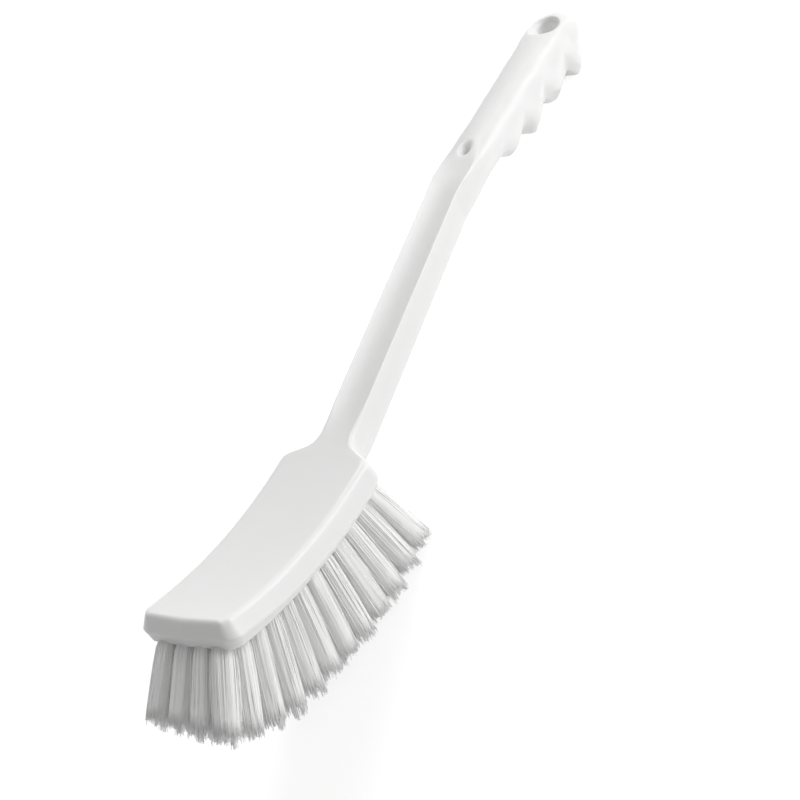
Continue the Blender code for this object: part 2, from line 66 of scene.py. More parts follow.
LOG = logging.getLogger("stem_brush")
MM = 0.001
Array = np.ndarray
Triple = tuple[float, float, float]
Colour = tuple[float, float, float, float]
WHITE: Colour = (1.0, 1.0, 1.0, 1.0)
UP = np.array([0.0, 0.0, 1.0])


class Slot(Enum):
    """The names of the material slots of the body and of the bristles."""

    BODY = "white_moulded_plastic"
    BRISTLES = "white_filament"


class Side(Enum):
    """The two mirrored halves of the brush, as the sign of Y."""

    LEFT = 1.0
    RIGHT = -1.0


def ease(x: Array, start: float, end: float) -> Array:
    """A smooth step from 0 at start to 1 at end: t squared times (3 - 2t), t being the share."""
    share = np.clip((x - start) / (end - start), 0.0, 1.0)
    return share * share * (3.0 - 2.0 * share)


def between(first: Array, last: Array, steps: int) -> list[Array]:
    """Rows between two rows: each is first + (last - first) times its share of the way."""
    shares = np.arange(1, steps + 1) / (steps + 1)
    return [first + (last - first) * share for share in shares]


def unit(vector: Array) -> Array:
    """The vector of length 1 in the same direction."""
    return vector / np.linalg.norm(vector)


def run_along(points: Array) -> Array:
    """Length of a line of points, up to each of them."""
    return np.concatenate([[0.0], np.cumsum(np.linalg.norm(np.diff(points, axis=0), axis=1))])


def grid_faces(row_count: int, column_count: int, first: int = 0) -> Array:
    """Four-sided faces over a grid of points that are numbered row by row.

    Args:
        row_count: rows of the grid.
        column_count: points in each row.
        first: number of the grid's first point.

    Returns:
        One line of four point numbers for each face.
    """
    index = first + np.arange(row_count * column_count).reshape(row_count, column_count)
    corners = (index[:-1, :-1], index[:-1, 1:], index[1:, 1:], index[1:, :-1])
    return np.stack(corners, axis=-1).reshape(-1, 4)


def make_piece(name: str, points: Array, faces: list, weld: float = 0.0) -> bpy.types.Object:
    """Makes an object at the origin from points and faces, with its faces outward.

    Args:
        name: name of the object.
        points: one line of three coordinates in metres for each point.
        faces: lists of point numbers.
        weld: points closer than this are made one, where it isn't 0.

    Returns:
        The object, linked to the scene and smooth shaded.
    """
    mesh = bpy.data.meshes.new(name)
    mesh.from_pydata(points.tolist(), [], faces)
    shape = bmesh.new()
    shape.from_mesh(mesh)
    if weld:
        bmesh.ops.remove_doubles(shape, verts=shape.verts, dist=weld)
        bmesh.ops.dissolve_degenerate(shape, edges=shape.edges, dist=weld)
    bmesh.ops.recalc_face_normals(shape, faces=shape.faces)
    shape.to_mesh(mesh)
    shape.free()
    mesh.shade_smooth()
    piece = bpy.data.objects.new(name, mesh)
    bpy.context.scene.collection.objects.link(piece)
    return piece


@dataclass(frozen=True)
class Resting:
    """How the brush lies: turned about Y so that the grip comes down, and raised onto the floor."""

    tilt: float = math.radians(24.205198)
    middle_x: float = -177.5325 * MM
    raised: float = 89.1958 * MM

    def turn(self) -> Array:
        """The turn about Y as a matrix."""
        c, s = math.cos(self.tilt), math.sin(self.tilt)
        return np.array([[c, 0.0, s], [0.0, 1.0, 0.0], [-s, 0.0, c]])

    def carry(self, points: Array) -> Array:
        """Carries points, whose last axis holds X, Y and Z, from the brush's frame to the world."""
        return points @ self.turn().T + np.array([self.middle_x, 0.0, self.raised])


class NodeTree:
    """A small helper that adds and joins the nodes of one material or world."""

    def __init__(self, owner: bpy.types.Material | bpy.types.World) -> None:
        """Turns on the nodes of a material or a world, and finds its output and the shader on it."""
        owner.use_nodes = True
        self.owner = owner
        self.tree = owner.node_tree
        self.output = next(node for node in self.tree.nodes if "Output" in node.bl_idname)
        self.shader = self.output.inputs["Surface"].links[0].from_node

    @staticmethod
    def fill_in(node: bpy.types.Node, **inputs: object) -> None:
        """Sets a node's inputs by name, with spaces written as underscores."""
        for name, value in inputs.items():
            node.inputs[name.replace("_", " ")].default_value = value

    def add(self, kind: str, **inputs: object) -> bpy.types.Node:
        """Adds a node with its inputs filled in."""
        node = self.tree.nodes.new(kind)
        self.fill_in(node, **inputs)
        return node

    def join(self, output: bpy.types.NodeSocket, target: bpy.types.NodeSocket) -> None:
        """Joins an output to an input."""
        self.tree.links.new(output, target)

    def noise(self, stretch: Triple, scale: float, detail: float) -> bpy.types.NodeSocket:
        """Noise on the piece's own coordinates.

        Args:
            stretch: factors on X, Y and Z, where a small one draws the pattern out along that axis.
            scale: cells of the noise to a metre.
            detail: octaves of the noise.

        Returns:
            The output with the noise's value, from 0 to 1.
        """
        place = self.add("ShaderNodeTexCoord")
        mapping = self.add("ShaderNodeMapping", Scale=stretch)
        pattern = self.add("ShaderNodeTexNoise", Scale=scale, Detail=detail)
        self.join(place.outputs["Object"], mapping.inputs["Vector"])
        self.join(mapping.outputs["Vector"], pattern.inputs["Vector"])
        return pattern.outputs["Fac"]

    def colour(self, low: Colour, high: Colour, share: bpy.types.NodeSocket) -> None:
        """Colours the shader from low to high, by a share that other nodes work out."""
        node = self.add("ShaderNodeMix")
        node.data_type = "RGBA"
        self.fill_in(node, A=low, B=high)
        self.join(share, node.inputs["Factor"])
        self.join(node.outputs["Result"], self.shader.inputs["Base Color"])

    def bump(self, height: bpy.types.NodeSocket, strength: float, distance: float) -> None:
        """Roughens the shader's surface by a height that other nodes work out."""
        node = self.add("ShaderNodeBump", Strength=strength, Distance=distance)
        self.join(height, node.inputs["Height"])
        self.join(node.outputs["Normal"], self.shader.inputs["Normal"])

    def swap(self, share: bpy.types.NodeSocket, other: bpy.types.NodeSocket) -> None:
        """Puts another shader in the place of the first, wherever the share is 1."""
        pick = self.add("ShaderNodeMixShader")
        for source, target in zip((share, self.shader.outputs[0], other), pick.inputs):
            self.join(source, target)
        self.join(pick.outputs[0], self.output.inputs["Surface"])


@dataclass(frozen=True)
class MouldedPlastic:
    """Semi-gloss white polypropylene, with the faint grain and flow marks of a mould."""

    colour: Colour = (0.79, 0.79, 0.786, 1.0)
    worn_colour: Colour = (0.765, 0.765, 0.761, 1.0)
    roughness: float = 0.37
    refraction: float = 1.49
    milkiness: float = 0.45
    milky_depth: float = 3.0 * MM
    flow_stretch: Triple = (0.35, 1.0, 1.0)
    flow_scale: float = 30.0
    flow_detail: float = 3.0
    grain_scale: float = 1500.0
    grain_detail: float = 2.0
    grain_strength: float = 0.35
    grain_height: float = 0.03 * MM

    def build(self) -> bpy.types.Material:
        """Makes the material, with its grain and its flow marks worked out by nodes."""
        nodes = NodeTree(bpy.data.materials.new("white moulded plastic"))
        nodes.fill_in(nodes.shader, Roughness=self.roughness, IOR=self.refraction,
                      Subsurface_Weight=self.milkiness, Subsurface_Scale=self.milky_depth,
                      Subsurface_Radius=(1.0, 1.0, 1.0))
        flow = nodes.noise(self.flow_stretch, self.flow_scale, self.flow_detail)
        nodes.colour(self.worn_colour, self.colour, flow)
        grain = nodes.noise((1.0, 1.0, 1.0), self.grain_scale, self.grain_detail)
        nodes.bump(grain, self.grain_strength, self.grain_height)
        return nodes.owner


@dataclass(frozen=True)
class WhiteFilament:
    """Smooth white polyester filament, with a tone of its own for each filament."""

    dark: Colour = (0.91, 0.91, 0.905, 1.0)
    light: Colour = (0.99, 0.99, 0.985, 1.0)
    roughness: float = 0.55
    refraction: float = 1.5
    draw_stretch: Triple = (1.0, 1.0, 0.15)
    draw_scale: float = 2500.0
    draw_detail: float = 1.0
    draw_strength: float = 0.15
    draw_height: float = 0.02 * MM
    attribute: str = "filament_tone"

    def build(self) -> bpy.types.Material:
        """Makes the material, whose colour follows each filament's own tone, with faint draw marks."""
        nodes = NodeTree(bpy.data.materials.new("white filament"))
        nodes.fill_in(nodes.shader, Roughness=self.roughness, IOR=self.refraction)
        tone = nodes.add("ShaderNodeAttribute")
        tone.attribute_name = self.attribute
        nodes.colour(self.dark, self.light, tone.outputs["Fac"])
        draw = nodes.noise(self.draw_stretch, self.draw_scale, self.draw_detail)
        nodes.bump(draw, self.draw_strength, self.draw_height)
        return nodes.owner


@dataclass(frozen=True)
class Corner:
    """A corner of the body's outline in plan, and how finely it and the run up to it are cut."""

    x: float
    y: float
    radius: float
    run_steps: int
    arc_steps: int


@dataclass(frozen=True)
class Head:
    """Sizes of the head: a block that curves up at both ends, with a parting line low on its sides."""

    length: float = 117.8 * MM
    half_width: float = 27.8 * MM
    thickness: float = 13.7 * MM
    curve_radius: float = 255.0 * MM
    middle_x: float = 60.3 * MM
    line_height: float = 3.9 * MM
    top_inset: float = 3.4 * MM
    bottom_inset: float = 2.7 * MM
    front_top_inset: float = 2.8 * MM
    front_bottom_inset: float = 1.2 * MM
    front_bow: float = 1.5 * MM
    front_corner_radius: float = 7.0 * MM
    front_reach: float = 20.0 * MM
    front_power: int = 6
    corner_inset: float = 1.2 * MM
    corner_reach: float = 18.0 * MM
    corner_power: int = 4
    front_drop: float = 1.3 * MM
    front_line_rise: float = 1.0 * MM
    front_drop_reach: float = 60.0 * MM
    shoulder_radius: float = 6.0 * MM
    shoulder_round: float = 1.6 * MM
    top_round: float = 2.4 * MM
    line_round: float = 0.6 * MM
    bottom_round: float = 0.8 * MM


@dataclass(frozen=True)
class Stem:
    """Sizes of the neck and the stem, a rising straight bar with a shallow channel along its top."""

    shoulder_run: float = 7.5 * MM
    neck_half_width: float = 10.2 * MM
    neck_radius: float = 9.0 * MM
    neck_run: float = 16.0 * MM
    neck_lead: float = 8.0 * MM
    run: float = 110.0 * MM
    rise: float = math.radians(21.5)
    start_half_width: float = 9.8 * MM
    end_half_width: float = 9.2 * MM
    start_thickness: float = 17.2 * MM
    end_thickness: float = 15.4 * MM
    line_height: float = 6.0 * MM
    top_inset: float = 0.35 * MM
    bottom_inset: float = 0.6 * MM
    channel_depth: float = 1.2 * MM
    top_round: float = 0.6 * MM
    line_round: float = 2.0 * MM
    bottom_round: float = 1.5 * MM


@dataclass(frozen=True)
class Grip:
    """Sizes of the thumb bend and the grip, an oval bar with finger ridges below."""

    bend_rise_run: float = 15.0 * MM
    bend_run: float = 24.0 * MM
    bend_half_width: float = 11.5 * MM
    bend_radius: float = 40.0 * MM
    bend_thickness: float = 14.8 * MM
    shoulder_run: float = 14.0 * MM
    shoulder_radius: float = 60.0 * MM
    run: float = 95.0 * MM
    rise: float = math.radians(11.3)
    end_rise: float = math.radians(-4.5)
    end_rise_run: float = 45.0 * MM
    start_half_width: float = 12.3 * MM
    half_width: float = 13.0 * MM
    thickness: float = 18.0 * MM
    line_height: float = 9.5 * MM
    line_share: float = 0.55
    top_inset: float = 3.0 * MM
    bottom_inset: float = 4.0 * MM
    crown: float = 2.0 * MM
    crown_lead: float = 16.0 * MM
    crown_run: float = 26.0 * MM
    fade_run: float = 38.0 * MM
    ridge_count: int = 4
    ridge_pitch: float = 21.5 * MM
    first_ridge_x: float = 303.3 * MM
    ridge_depth: float = 10.5 * MM
    ridge_side_depth: float = 2.2 * MM
    ridge_barrel: float = 4.5 * MM
    barrel_power: int = 3
    first_ridge_share: float = 0.6
    ridge_round_share: float = 0.8
    end_radius: float = 12.5 * MM
    end_lead: float = 2.0 * MM
    end_power: int = 2
    end_top_inset: float = 5.0 * MM
    end_thinning: float = 14.0 * MM
    end_thinning_run: float = 18.0 * MM
    top_round: float = 5.0 * MM
    line_round: float = 3.8 * MM
    bottom_round: float = 8.5 * MM


@dataclass(frozen=True)
class HangingHole:
    """Sizes of the hanging hole: countersunk above, and slanting toward the end as it goes down.

    A ring of its rounded rim and its countersink has the rim's radius moved toward the neck's by the
    first share, plus the second times the rim's width. Its depth is the third share of that width
    plus the fourth of the neck's depth.
    """

    end_gap: float = 19.8 * MM
    lean: float = math.radians(37.0)
    edge_radius: float = 8.7 * MM
    rim_radius: float = 8.15 * MM
    neck_radius: float = 5.75 * MM
    neck_depth: float = 3.0 * MM
    exit_radius: float = 7.4 * MM
    exit_depth: float = 21.0 * MM
    exit_flare: float = 0.9 * MM
    exit_bulge_share: float = 0.08
    search_share: float = 1.5
    search_steps: int = 40
    wall_steps: int = 10
    rings: tuple[tuple[float, float, float, float], ...] = (
        (0.0, 0.35, 0.12, 0.0),
        (0.0, -0.1, 0.6, 0.0),
        (1.0 / 3.0, 0.0, 0.0, 0.35),
        (2.0 / 3.0, 0.0, 0.0, 0.68),
        (1.0, 0.3, 0.0, 0.92),
        (1.0, 0.0, 0.0, 1.15),
    )


@dataclass(frozen=True)
class ThumbDimple:
    """Sizes of the small hollow where the thumb rests."""

    x: float = 279.5 * MM
    half_length: float = 3.0 * MM
    half_width: float = 2.4 * MM
    depth: float = 7.0 * MM
    steepness: float = 1.6


@dataclass(frozen=True)
class MouldedBody:
    """The one moulding of head, stem and grip.

    Its surface is a grid. One parameter runs along the plan outline from the middle of the front to
    the middle of the end. The other runs round the section, from the middle of the top over the
    rounded edges and the widest line to the middle of the underside. At the hanging hole the middle
    lines open into rings, and a wall joins the ring above to the ring below.
    """

    head: Head = Head()
    stem: Stem = Stem()
    grip: Grip = Grip()
    hole: HangingHole = HangingHole()
    dimple: ThumbDimple = ThumbDimple()
    front_gap: float = 10.0 * MM
    front_reach: float = 41.0 * MM
    top_end_gap: float = 6.2 * MM
    top_end_reach: float = 44.0 * MM
    bottom_end_gap: float = 4.6 * MM
    bottom_end_reach: float = 74.0 * MM
    ring_start_share: float = 0.15
    ring_end_share: float = 0.85
    side_limit: float = 0.48
    face_limit: float = 0.9
    low_side_limit: float = 0.6
    face_steps: int = 20
    side_steps: int = 3
    round_steps: int = 7
    slope_lead: float = 2.0 * MM
    slope_step: float = 0.25 * MM
    weld: float = 0.002 * MM

    @property
    def shoulder_x(self) -> float:
        """Where the head ends."""
        return self.head.length

    @property
    def neck_x(self) -> float:
        """Where the shoulders have closed in to the neck."""
        return self.shoulder_x + self.stem.shoulder_run

    @property
    def stem_x(self) -> float:
        """Where the straight stem starts."""
        return self.neck_x + self.stem.neck_run

    @property
    def bend_x(self) -> float:
        """Where the thumb bend starts."""
        return self.stem_x + self.stem.run

    @property
    def bend_end_x(self) -> float:
        """Where the thumb bend ends."""
        return self.bend_x + self.grip.bend_run

    @property
    def grip_x(self) -> float:
        """Where the grip has its full width."""
        return self.bend_end_x + self.grip.shoulder_run

    @property
    def end_x(self) -> float:
        """The end of the grip."""
        return self.grip_x + self.grip.run

    @property
    def hole_x(self) -> float:
        """The middle of the hanging hole at the top."""
        return self.end_x - self.hole.end_gap

    @property
    def hole_top(self) -> float:
        """Height of the top at the middle of the hanging hole."""
        return float(self.top(np.array(self.hole_x)) + self.crown(np.array(self.hole_x)))

    def zones(self, x: Array, head: float, stem: float, grip: float) -> Array:
        """A size that is head on the head, stem on the stem and grip on the grip."""
        neck = ease(x, self.shoulder_x - self.stem.neck_lead, self.neck_x + self.head.shoulder_radius)
        start = self.bend_x + self.stem.shoulder_run
        thumb = ease(x, start, start + self.grip.fade_run)
        return head + (stem - head) * neck + (grip - stem) * thumb

    def rise(self, x: Array) -> Array:
        """Slope of the top: the arc of the head, then the stem's slope, the grip's and the end's."""
        across = np.clip(x, None, self.shoulder_x) - self.head.middle_x
        slope = across / np.sqrt(self.head.curve_radius**2 - across**2)
        stem = math.tan(self.stem.rise)
        slope = slope + (stem - slope) * ease(x, self.shoulder_x - self.stem.neck_lead, self.stem_x)
        change = math.tan(self.grip.rise) - stem
        slope = slope + change * ease(x, self.bend_x, self.bend_x + self.grip.bend_rise_run)
        change = math.tan(self.grip.end_rise) - math.tan(self.grip.rise)
        return slope + change * ease(x, self.end_x - self.grip.end_rise_run, self.end_x)

    def top(self, x: Array) -> Array:
        """Height of the top's edges: the slope summed over short steps, set by the head's middle."""
        line = np.arange(-self.slope_lead, self.end_x + self.slope_lead, self.slope_step)
        slope = self.rise(line)
        gain = (slope[1:] + slope[:-1]) / 2.0 * np.diff(line)
        height = np.concatenate([[0.0], np.cumsum(gain)])
        height = height - np.interp(self.head.middle_x, line, height)
        return self.head.thickness + np.interp(x, line, height)

    def ridge(self, x: Array) -> Array:
        """1 on the crest of a finger ridge, 0 in a hollow: a raised cosine to a power below 1."""
        turn = (x - self.grip.first_ridge_x) / self.grip.ridge_pitch
        wave = (0.5 + 0.5 * np.cos(2.0 * math.pi * turn)) ** self.grip.ridge_round_share
        first = self.grip.first_ridge_x
        grown = ease(x, first, first + self.grip.ridge_pitch)
        on = (turn > -0.5) & (turn < self.grip.ridge_count - 0.5)
        share = self.grip.first_ridge_share
        return on * wave * (share + (1.0 - share) * grown)

    def thickness(self, x: Array) -> Array:
        """Thickness from the top's edges to the underside, with the finger ridges."""
        head, stem, grip = self.head, self.stem, self.grip
        share = np.clip((x - self.stem_x) / stem.run, 0.0, 1.0)
        bar = stem.start_thickness + (stem.end_thickness - stem.start_thickness) * share
        neck = ease(x, self.shoulder_x - stem.neck_lead, self.stem_x)
        body = head.thickness + (bar - head.thickness) * neck
        body = body + (grip.bend_thickness - stem.end_thickness) * ease(x, self.bend_x, self.bend_end_x)
        gain = grip.thickness - grip.bend_thickness
        body = body + gain * ease(x, self.bend_end_x, self.grip_x + grip.fade_run)
        body = body + head.front_drop * (1.0 - ease(x, 0.0, head.front_drop_reach))
        thinning = np.clip((x - self.end_x) / grip.end_thinning_run + 1.0, 0.0, 1.0)
        return body + grip.ridge_depth * self.ridge(x) - grip.end_thinning * thinning

    def bottom(self, x: Array) -> Array:
        """Height of the underside."""
        return self.top(x) - self.thickness(x)

    def line(self, x: Array) -> Array:
        """Height of the widest line of the sides, half way down each ridge."""
        height = self.zones(x, self.head.line_height, self.stem.line_height, self.grip.line_height)
        height = height + self.grip.ridge_depth / 2.0 * self.ridge(x)
        higher = self.head.front_drop + self.head.front_line_rise
        height = height + higher * (1.0 - ease(x, 0.0, self.head.front_drop_reach))
        return self.bottom(x) + np.minimum(height, self.thickness(x) * self.grip.line_share)

    def crown(self, x: Array) -> Array:
        """How far the middle of the top stands above its edges: below them along the channel."""
        channel = ease(x, self.shoulder_x, self.stem_x + self.stem.neck_lead)
        start = self.dimple.x - self.grip.crown_lead
        thumb = ease(x, start, start + self.grip.crown_run)
        depth = self.stem.channel_depth
        return -depth * channel + (self.grip.crown + depth) * thumb

    def corners(self) -> tuple[Corner, ...]:
        """The corners of half the outline in plan, from the front to the end."""
        head, stem, grip = self.head, self.stem, self.grip
        return (
            Corner(0.0, 0.0, 0.0, 0, 0),
            Corner(head.front_bow, head.half_width, head.front_corner_radius, 24, 12),
            Corner(self.shoulder_x, head.half_width, head.shoulder_radius, 104, 12),
            Corner(self.neck_x, stem.neck_half_width, stem.neck_radius, 6, 12),
            Corner(self.stem_x, stem.start_half_width, 0.0, 14, 0),
            Corner(self.bend_x, stem.end_half_width, 0.0, 104, 0),
            Corner(self.bend_end_x, grip.bend_half_width, grip.bend_radius, 40, 8),
            Corner(self.grip_x, grip.start_half_width, grip.shoulder_radius, 12, 8),
            Corner(self.end_x, grip.half_width, grip.end_radius, 100, 28),
            Corner(self.end_x, 0.0, 0.0, 2, 0),
        )

    def outline(self) -> tuple[Array, Array]:
        """The widest line in plan: straight runs joined by arcs.

        Returns:
            The points, and for each the unit vector that points into the body.
        """
        corners = self.corners()
        points: list[Array] = []
        ways: list[Array] = []
        start = np.array([corners[0].x, corners[0].y])
        for index in range(1, len(corners)):
            here = corners[index]
            corner = np.array([here.x, here.y])
            way = unit(corner - start)
            arc, arc_ways = corner[None, :], way[None, :]
            if here.radius:
                after = np.array([corners[index + 1].x, corners[index + 1].y])
                arc, arc_ways = self.corner_arc(way, corner, after, here)
            shares = np.arange(here.run_steps)[:, None] / here.run_steps
            points += [start + (arc[0] - start) * shares, arc[:-1]]
            ways += [way + 0.0 * shares, arc_ways[:-1]]
            start = arc[-1]
        points.append(start[None, :])
        ways.append(way[None, :])
        ways[0][0] = (0.0, 1.0)
        ways[-1][0] = (0.0, -1.0)
        along = np.concatenate(ways)
        return np.concatenate(points), np.stack([along[:, 1], -along[:, 0]], axis=1)

    @staticmethod
    def corner_arc(way: Array, corner: Array, after: Array, rounded: Corner) -> tuple[Array, Array]:
        """The arc that rounds a corner, as a turn of the radius from one run to the next.

        Args:
            way: unit direction of the run that comes in.
            corner: the corner's place.
            after: the next corner's place.
            rounded: the corner's radius and steps.

        Returns:
            The arc's points and their directions.
        """
        on = unit(after - corner)
        half = math.acos(float(-way @ on)) / 2.0
        first = corner - way * rounded.radius / math.tan(half)
        last = corner + on * rounded.radius / math.tan(half)
        centre = corner + unit(on - way) * rounded.radius / math.sin(half)
        sweep = math.pi - 2.0 * half
        turn = np.linspace(0.0, sweep, rounded.arc_steps + 1)[:, None]
        before, later = np.sin(sweep - turn) / math.sin(sweep), np.sin(turn) / math.sin(sweep)
        return centre + before * (first - centre) + later * (last - centre), before * way + later * on

    def hollow(self, x: Array, y: Array) -> Array:
        """Depth of the thumb's hollow: a bell curve of the distance from its middle."""
        far = ((x - self.dimple.x) / self.dimple.half_length) ** 2 + (y / self.dimple.half_width) ** 2
        return self.dimple.depth * np.exp(-self.dimple.steepness * far)

    def exit_depth(self, turn: Array, wider: float) -> Array:
        """How deep the hole's wall meets the underside, found by halving.

        Args:
            turn: angles round the hole.
            wider: how much wider than the plain wall the ring is.

        Returns:
            For each angle, the depth at which the leaning wall's height is the underside's.
        """
        low = np.full(turn.shape, self.hole.neck_depth)
        high = np.full(turn.shape, self.hole.exit_depth * self.hole.search_share)
        for _ in range(self.hole.search_steps):
            depth = (low + high) / 2.0
            place = self.wall(turn, depth, self.wall_radius(depth) + wider)
            above = place[:, 2] > self.bottom(place[:, 0])
            low, high = np.where(above, depth, low), np.where(above, high, depth)
        return low

    def wall_radius(self, depth: Array) -> Array:
        """Radius of the hole below its neck, growing evenly with depth."""
        hole = self.hole
        share = (depth - hole.neck_depth) / (hole.exit_depth - hole.neck_depth)
        return hole.neck_radius + (hole.exit_radius - hole.neck_radius) * share

    def wall(self, turn: Array, depth: Array, radius: Array) -> Array:
        """Points of the hole's wall: a circle about an axis that moves to the end with depth."""
        x = self.hole_x + math.tan(self.hole.lean) * depth - radius * np.cos(turn)
        return np.column_stack([x, radius * np.sin(turn), self.hole_top - depth])

    def middle_line(self, plan: Array, ring: Array, columns: slice, reach: float, gap: float) -> Array:
        """For each point of the outline, where its row starts: on the middle line, or on a ring.

        The place on the middle line is a steady share of the run along the outline.

        Args:
            plan: the outline's points.
            ring: the ring's points in plan, one for each of the ring's columns.
            columns: the columns that run to the ring.
            reach: how far from the end the middle line starts to lag behind the outline.
            gap: how far from the end it stops.

        Returns:
            The starting points in plan.
        """
        x, run = plan[:, 0], run_along(plan)
        first = int(np.argmax(x >= self.front_reach))
        last = len(x) - 1 - int(np.argmax(x[::-1] <= self.end_x - reach))
        middle = x.copy()
        middle[:first] = self.front_gap + (x[first] - self.front_gap) * run[:first] / run[first]
        knots = [run[last], run[columns.start], run[columns.stop - 1], run[-1]]
        places = [x[last], ring[0, 0], ring[-1, 0], self.end_x - gap]
        middle[last:] = np.interp(run[last:], knots, places)
        line = np.stack([middle, np.zeros(len(x))], axis=1)
        line[columns] = ring
        return line

    def rounding(self, before: Array, corner: Array, after: Array, reach: Array,
                 limits: tuple[float, float]) -> list[Array]:
        """Rows that round an edge: for each column, a curve of second degree tangent to both faces.

        Args:
            before: places on the face before the edge.
            corner: places of the edge.
            after: places on the face after it.
            reach: how far the curve starts and ends from the edge.
            limits: the largest share of the way to before and to after that it may take.

        Returns:
            The rows, from the face before to the face after.
        """
        back, on = before - corner, after - corner
        back_length, on_length = np.linalg.norm(back, axis=1), np.linalg.norm(on, axis=1)
        reach = np.minimum(reach, np.minimum(back_length * limits[0], on_length * limits[1]))
        first = corner + back * (reach / back_length)[:, None]
        last = corner + on * (reach / on_length)[:, None]
        shares = np.linspace(0.0, 1.0, self.round_steps + 1)
        return [(1 - s) ** 2 * first + 2 * s * (1 - s) * corner + s**2 * last for s in shares]

    def ring_columns(self, plan: Array) -> tuple[slice, Array]:
        """The columns of the grid that meet the hanging hole, and their angles round it."""
        x, run = plan[:, 0], run_along(plan)
        start_run = np.interp(self.end_x - self.top_end_reach, x[x < self.end_x], run[x < self.end_x])
        share = (run - start_run) / (run[-1] - start_run)
        start = int(np.argmin(abs(share - self.ring_start_share)))
        stop = int(np.argmin(abs(share - self.ring_end_share)))
        columns = slice(start, stop + 1)
        return columns, math.pi * (run[columns] - run[start]) / (run[stop] - run[start])

    def insets(self, plan: Array, normal: Array) -> tuple[Array, Array]:
        """How far the edges of the top and the underside lie inside the widest line.

        Both go by zone. At the front and at the end they turn to those faces' own, with a power of
        how squarely the outline faces that way. The top's grows toward the head's front corners, and
        the underside's shrinks on the crests of the finger ridges.

        Args:
            plan: the outline's points.
            normal: for each the unit vector that points into the body.

        Returns:
            The top's insets and the underside's.
        """
        head, stem, grip = self.head, self.stem, self.grip
        x = plan[:, 0]
        front = np.clip(normal[:, 0], 0.0, 1.0) ** head.front_power * (x < head.front_reach)
        end_start = self.end_x - grip.end_radius - grip.end_lead
        end = np.clip(-normal[:, 0], 0.0, 1.0) ** grip.end_power * (x > end_start)
        top = self.zones(x, head.top_inset, stem.top_inset, grip.top_inset)
        top = top + head.corner_inset * (1.0 - ease(x, 0.0, head.corner_reach))
        corner = (plan[:, 1] / head.half_width) ** head.corner_power
        top = top + (head.front_top_inset + head.corner_inset * corner - top) * front
        top = top + (grip.end_top_inset - top) * end
        low = self.zones(x, head.bottom_inset, stem.bottom_inset, grip.bottom_inset)
        low = low + (head.front_bottom_inset - low) * front
        return top, low - grip.ridge_side_depth * self.ridge(x)

    def top_reach(self, x: Array) -> Array:
        """How far the rounding of the top's edges reaches: by zone, and more at the shoulders."""
        reach = self.zones(x, self.head.top_round, self.stem.top_round, self.grip.top_round)
        lead = self.stem.neck_lead
        shoulder = ease(x, self.shoulder_x - lead, self.shoulder_x)
        shoulder = shoulder * (1.0 - ease(x, self.neck_x + lead, self.stem_x + lead))
        return reach + self.head.shoulder_round * shoulder

    def surface(self) -> tuple[Array, Array]:
        """The half body as two grids: the rows of points round the section, and the hole's wall."""
        head, stem, grip = self.head, self.stem, self.grip
        plan, normal = self.outline()
        x = plan[:, 0]
        columns, turn = self.ring_columns(plan)
        edge = self.hole.edge_radius
        top_ring = np.column_stack([self.hole_x - edge * np.cos(turn), edge * np.sin(turn)])
        mouth = self.exit_depth(turn, self.hole.exit_flare)
        low_ring = self.wall(turn, mouth, self.wall_radius(mouth) + self.hole.exit_flare)
        top_line = self.middle_line(plan, top_ring, columns, self.top_end_reach, self.top_end_gap)
        low_line = self.middle_line(plan, low_ring[:, :2], columns, self.bottom_end_reach,
                                    self.bottom_end_gap)
        virtual = np.column_stack([top_line[:, 0], np.zeros(len(x))])
        top_edge, low_edge = (plan + normal * inset[:, None] for inset in self.insets(plan, normal))
        edge_reach = np.linalg.norm(top_edge - virtual, axis=1)
        low_reach = np.linalg.norm(low_edge - low_line, axis=1)

        def on_top(places: Array) -> Array:
            """Puts places of the plan on the top, whose crown falls with the square to the edge."""
            out = np.linalg.norm(places - virtual, axis=1) / edge_reach
            height = self.top(places[:, 0]) + self.crown(places[:, 0]) * (1.0 - out**2)
            return np.column_stack([places, height - self.hollow(places[:, 0], places[:, 1])])

        def on_bottom(places: Array) -> Array:
            """Puts places of the plan on the underside, which rises to its edges along the ridges."""
            out = np.linalg.norm(places - low_line, axis=1) / low_reach
            rise = grip.ridge_barrel * self.ridge(places[:, 0]) * out**grip.barrel_power
            return np.column_stack([places, self.bottom(places[:, 0]) + rise])

        top_corner, low_corner = on_top(top_edge), on_bottom(low_edge)
        side_corner = np.column_stack([plan, self.line(x)])
        top_round = self.rounding(on_top((top_edge + top_line) / 2.0), top_corner, side_corner,
                                  self.top_reach(x), (self.face_limit, self.side_limit))
        side_round = self.rounding(top_corner, side_corner, low_corner,
                                   self.zones(x, head.line_round, stem.line_round, grip.line_round),
                                   (self.side_limit, 1.0 - self.low_side_limit))
        low_round = self.rounding(side_corner, low_corner, on_bottom((low_edge + low_line) / 2.0),
                                  self.zones(x, head.bottom_round, stem.bottom_round, grip.bottom_round),
                                  (self.low_side_limit, self.face_limit))
        inner = top_round[0][:, :2]
        top_round[0] = on_top(inner)
        rows = [on_top(top_line)]
        rows += [on_top(places) for places in between(top_line, inner, self.face_steps)]
        rows += top_round + between(top_round[-1], side_round[0], self.side_steps) + side_round
        inner = low_round[-1][:, :2]
        low_round[-1] = on_bottom(inner)
        rows += between(side_round[-1], low_round[0], self.side_steps) + low_round
        rows += [on_bottom(places) for places in between(inner, low_line, self.face_steps)]
        rows.append(on_bottom(low_line))
        grid = np.stack(rows)
        return grid, self.hole_wall(grid[0, columns], grid[-1, columns], turn)

